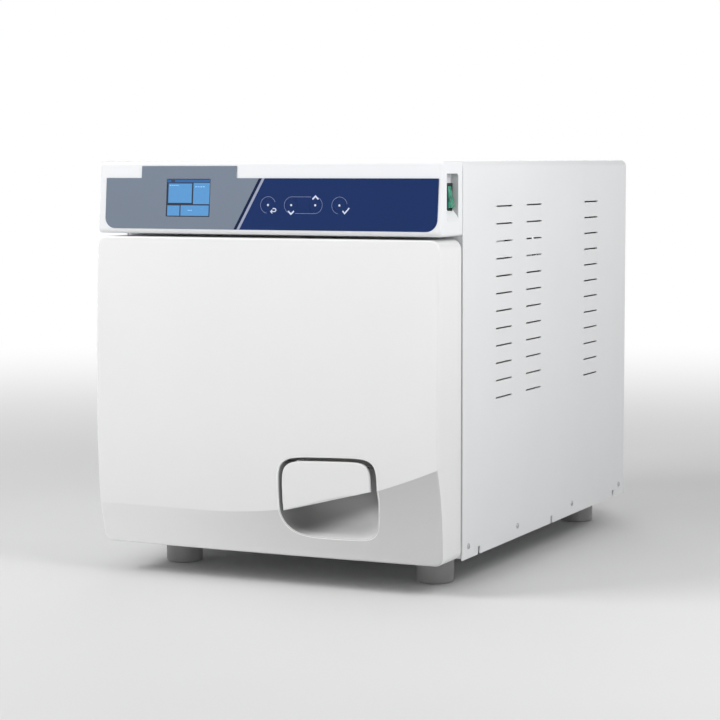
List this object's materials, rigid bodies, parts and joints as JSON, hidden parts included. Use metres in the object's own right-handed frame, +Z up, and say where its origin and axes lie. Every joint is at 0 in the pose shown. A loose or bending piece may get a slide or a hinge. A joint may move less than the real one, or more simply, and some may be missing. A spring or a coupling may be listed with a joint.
{
  "type": "benchtop autoclave",
  "caption": "Benchtop steam autoclave: sheet-metal cabinet, side-hinged moulded door with a handle plate in a finger well, touch panel with display, rocker switch, round chamber with trays.",
  "frame": {"origin": "on the floor under the middle of the bounding box", "axes": "+Z up, the door faces -Y, the power rocker is on the +X side"},
  "size_m": [0.43, 0.642, 0.479],
  "materials": {
    "cover_paint": "satin powder coat",
    "door_plastic": "smooth moulded",
    "housing_plastic": "smooth moulded",
    "overlay_film": "satin printed film, blue with a grey-blue left part",
    "display_glass": "lit display under a clear window",
    "zinc_sheet": "zinc plated",
    "stainless": "polished stainless",
    "aluminium": "as machined",
    "brass": "machined",
    "black_plastic": "fine texture",
    "grey_plastic": "fine texture",
    "tank_plastic": "translucent polypropylene look",
    "silicone": "smooth silicone",
    "foot_rubber": "moulded",
    "insulation": "glass-fibre blanket",
    "circuit_board": "solder mask",
    "rocker_green": "translucent, lit"
  },
  "bodies": {
    "cabinet": {"cover_wrap": "cover_paint", "base_pan": "zinc_sheet", "back_panel": "cover_paint", "front_frame": "cover_paint", "foot_front_left": "foot_rubber", "foot_rear_left": "foot_rubber", "foot_front_right": "foot_rubber", "foot_rear_right": "foot_rubber", "chamber_vessel": "stainless", "heater_band": "grey_plastic", "insulation_jacket": "insulation", "tray_rack": "stainless", "tray_1": "stainless", "tray_2": "stainless", "tray_3": "stainless", "clean_water_tank": "tank_plastic", "waste_water_tank": "tank_plastic", "vacuum_pump": "aluminium", "water_pump": "black_plastic", "steam_generator": "brass", "condenser_core": "aluminium", "valve_block": "brass", "air_filter": "tank_plastic", "safety_valve": "brass", "clean_drain": "brass", "waste_drain": "brass", "fan_shroud": "black_plastic", "main_board": "circuit_board", "power_inlet": "black_plastic", "control_housing": "housing_plastic", "panel_overlay": "overlay_film", "lcd_module": "display_glass", "control_board": "circuit_board", "switch_bezel": "black_plastic", "hinge_arm_lower": "zinc_sheet", "hinge_arm_upper": "zinc_sheet", "latch_keeper": "zinc_sheet", "lock_solenoid": "grey_plastic"},
    "door": {"door_cover": "door_plastic", "door_liner": "door_plastic", "door_plate": "stainless", "door_gasket": "silicone", "door_bridge": "zinc_sheet", "plate_bolt": "zinc_sheet", "hinge_knuckle_lower": "zinc_sheet", "hinge_pin_lower": "stainless", "hinge_knuckle_upper": "zinc_sheet", "hinge_pin_upper": "stainless", "handle_pin": "stainless"},
    "handle": {"handle_plate": "door_plastic"},
    "latch": {"latch_hook": "zinc_sheet"},
    "lock": {"lock_pin": "stainless"},
    "rocker": {"rocker_button": "rocker_green"},
    "key_back": {"key_back": "overlay_film"},
    "key_down": {"key_down": "overlay_film"},
    "key_up": {"key_up": "overlay_film"},
    "key_ok": {"key_ok": "overlay_film"},
    "fan": {"fan_rotor": "black_plastic"},
    "filler_lid": {"filler_lid": "cover_paint"}
  },
  "joints": [
    {"name": "door_hinge", "type": "hinge", "parent": "cabinet", "child": "door", "pos_m": [-0.203, -0.265, 0.228], "axis": [0, 0, -1], "range_deg": [0, 105]},
    {"name": "handle_pull", "type": "hinge", "parent": "door", "child": "handle", "pos_m": [0, -0.3125, 0.1439], "axis": [-1, 0, 0], "range_deg": [0, 30], "stiffness_Nm_per_rad": 0.6, "springref_deg": -11.46},
    {"name": "latch_turn", "type": "hinge", "parent": "door", "child": "latch", "pos_m": [0.181, -0.264, 0.15], "axis": [-1, 0, 0], "range_deg": [0, 15]},
    {"name": "lock_slide", "type": "slide", "parent": "cabinet", "child": "lock", "axis": [0, -1, 0], "range_m": [0, 0.009]},
    {"name": "rocker_tilt", "type": "hinge", "parent": "cabinet", "child": "rocker", "pos_m": [0.2045, -0.2659, 0.439], "axis": [0, 1, 0], "range_deg": [0, 22]},
    {"name": "key_back_press", "type": "slide", "parent": "cabinet", "child": "key_back", "axis": [0, 0.9962, -0.0872], "range_m": [0, 0.0006], "stiffness_N_per_m": 1500},
    {"name": "key_down_press", "type": "slide", "parent": "cabinet", "child": "key_down", "axis": [0, 0.9962, -0.0872], "range_m": [0, 0.0006], "stiffness_N_per_m": 1500},
    {"name": "key_up_press", "type": "slide", "parent": "cabinet", "child": "key_up", "axis": [0, 0.9962, -0.0872], "range_m": [0, 0.0006], "stiffness_N_per_m": 1500},
    {"name": "key_ok_press", "type": "slide", "parent": "cabinet", "child": "key_ok", "axis": [0, 0.9962, -0.0872], "range_m": [0, 0.0006], "stiffness_N_per_m": 1500},
    {"name": "fan_spin", "type": "hinge", "parent": "cabinet", "child": "fan", "pos_m": [0.12, 0.289, 0.37], "axis": [0, 1, 0], "continuous": true},
    {"name": "lid_hinge", "type": "hinge", "parent": "cabinet", "child": "filler_lid", "pos_m": [-0.105, -0.11, 0.479], "axis": [-1, 0, 0], "range_deg": [0, 95]}
  ],
  "couplings": [
    {"joint": "latch_turn", "follows": "handle_pull", "ratio": 0.5}
  ]
}
